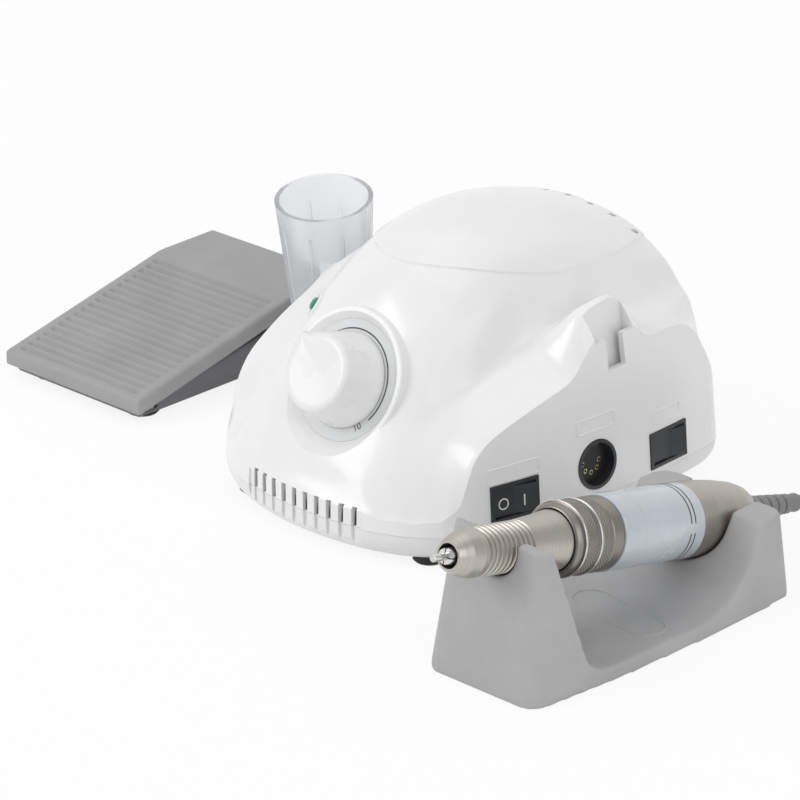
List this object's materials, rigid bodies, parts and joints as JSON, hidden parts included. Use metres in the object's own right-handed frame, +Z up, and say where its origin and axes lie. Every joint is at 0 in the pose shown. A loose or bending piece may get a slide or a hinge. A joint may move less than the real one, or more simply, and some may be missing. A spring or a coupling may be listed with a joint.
{
  "type": "nail drill set",
  "caption": "Table-top nail drill control box with dial and rocker switches, handpiece on its rest with coiled lead, treadle foot pedal and clear bit cup.",
  "frame": {"origin": "on the table under the middle of the set's footprint, without the loose cord", "axes": "+Z up, -Y towards the user, where the dial faces; +X to the user's right, where the switches and the handpiece are"},
  "size_m": [0.362, 0.2722, 0.0947],
  "materials": {
    "white_shell": "gloss white moulded plastic",
    "white_trim": "gloss white moulded plastic",
    "rest_grey": "satin mid grey moulded plastic",
    "dial_grey": "light grey printed dial plate",
    "knob_white": "white moulded knob",
    "switch_black": "gloss black switch",
    "socket_black": "black moulded socket shell",
    "socket_insulator": "black insulator",
    "contact_brass": "gold plated contacts",
    "rubber_black": "black rubber",
    "grey_plastic": "dark grey plastic",
    "pedal_grey": "textured mid grey plastic",
    "lamp_green": "dark green tinted lamp lens",
    "core_steel": "laminated core",
    "copper_wire": "enamelled copper winding",
    "board_green": "solder resist",
    "can_sleeve": "shrink sleeve",
    "sink_aluminium": "bare aluminium",
    "screw_steel": "zinc plated steel",
    "hand_steel": "warm turned steel",
    "relief_grey": "grey rubber",
    "sleeve_blue": "pale blue white sleeve",
    "tail_brushed": "brushed metal tail",
    "bearing_steel": "ground steel",
    "cord_grey": "grey cord jacket",
    "cup_clear": "clear moulded plastic"
  },
  "bodies": {
    "control_box": {"base_tray": "white_trim", "board_screws": "screw_steel", "capacitor": "can_sleeve", "circuit_board": "board_green", "cord_coil": "cord_grey", "dial_plate": "dial_grey", "din_plug": "rubber_black", "din_plug_pins": "contact_brass", "direction_switch_frame": "switch_black", "fuse_holder": "grey_plastic", "handpiece_cord": "cord_grey", "handpiece_rest": "rest_grey", "heat_sink": "sink_aluminium", "housing_screws": "screw_steel", "led_lens": "lamp_green", "mains_gland": "rubber_black", "motor_socket": "socket_black", "pedal_base": "pedal_grey", "pedal_foot_1": "rubber_black", "pedal_foot_2": "rubber_black", "pedal_foot_3": "rubber_black", "pedal_foot_4": "rubber_black", "pedal_gland": "rubber_black", "pedal_hinge_pin": "screw_steel", "pedal_jack": "grey_plastic", "pedal_spring": "screw_steel", "pedal_switch": "grey_plastic", "potentiometer": "sink_aluminium", "potentiometer_nut": "screw_steel", "power_switch_frame": "switch_black", "rubber_foot_1": "rubber_black", "rubber_foot_2": "rubber_black", "rubber_foot_3": "rubber_black", "rubber_foot_4": "rubber_black", "socket_contacts": "contact_brass", "socket_insert": "socket_insulator", "transformer_core": "core_steel", "transformer_winding": "copper_wire", "upper_housing": "white_shell"},
    "speed_knob": {"speed_knob": "knob_white", "potentiometer_shaft": "screw_steel"},
    "power_rocker": {"power_rocker": "switch_black"},
    "direction_rocker": {"direction_rocker": "switch_black"},
    "handpiece": {"handpiece_nose": "hand_steel", "handpiece_sleeve": "sleeve_blue", "nose_link": "bearing_steel", "handpiece_tail": "tail_brushed", "strain_relief": "relief_grey", "front_bearing": "bearing_steel", "rear_bearing": "bearing_steel", "bearing_plate": "sink_aluminium", "motor_stator": "grey_plastic"},
    "lock_collar": {"lock_collar": "hand_steel"},
    "spindle": {"spindle": "bearing_steel", "collet": "bearing_steel", "bit": "bearing_steel", "motor_rotor": "core_steel"},
    "pedal_tread": {"pedal_tread": "pedal_grey"},
    "pedal_plunger": {"pedal_plunger": "contact_brass"},
    "holder_cup": {"holder_cup": "cup_clear"}
  },
  "joints": [
    {"name": "speed_knob_turn", "type": "hinge", "parent": "control_box", "child": "speed_knob", "pos_m": [0.01675, -0.02262, 0.0508], "axis": [0, -0.8949, 0.4462], "range_deg": [-182, 88]},
    {"name": "power_rocker_tip", "type": "hinge", "parent": "control_box", "child": "power_rocker", "pos_m": [0.07422, -0.00486, 0.0203], "axis": [-0.0852, 0.0185, 0.9962], "range_deg": [0, 16]},
    {"name": "direction_rocker_tip", "type": "hinge", "parent": "control_box", "child": "direction_rocker", "pos_m": [0.08042, 0.06424, 0.0197], "axis": [-0.0871, -0.0032, 0.9962], "range_deg": [0, 16]},
    {"name": "handpiece_lift", "type": "slide", "parent": "control_box", "child": "handpiece", "axis": [0, 0, 1], "range_m": [0, 0.04]},
    {"name": "lock_collar_twist", "type": "hinge", "parent": "handpiece", "child": "lock_collar", "pos_m": [0.13075, -0.04024, 0.03685], "axis": [0, 0.9755, -0.2198], "range_deg": [0, 30]},
    {"name": "spindle_spin", "type": "hinge", "parent": "handpiece", "child": "spindle", "pos_m": [0.13075, -0.04024, 0.03685], "axis": [0, 0.9755, -0.2198], "continuous": true},
    {"name": "pedal_press", "type": "hinge", "parent": "control_box", "child": "pedal_tread", "pos_m": [-0.12425, -0.00962, 0.0062], "axis": [-1, 0, 0], "range_deg": [0, 4], "stiffness_Nm_per_rad": 6, "springref_deg": -2.86, "deforming": ["pedal_spring"]},
    {"name": "pedal_plunger_slide", "type": "slide", "parent": "control_box", "child": "pedal_plunger", "axis": [0, 0, -1], "range_m": [0, 0.0016]},
    {"name": "holder_cup_lift", "type": "slide", "parent": "control_box", "child": "holder_cup", "axis": [0.0905, -0.0745, 0.9931], "range_m": [0, 0.0105]}
  ],
  "couplings": [
    {"joint": "pedal_plunger_slide", "follows": "pedal_press", "m_per_rad": 0.022}
  ]
}
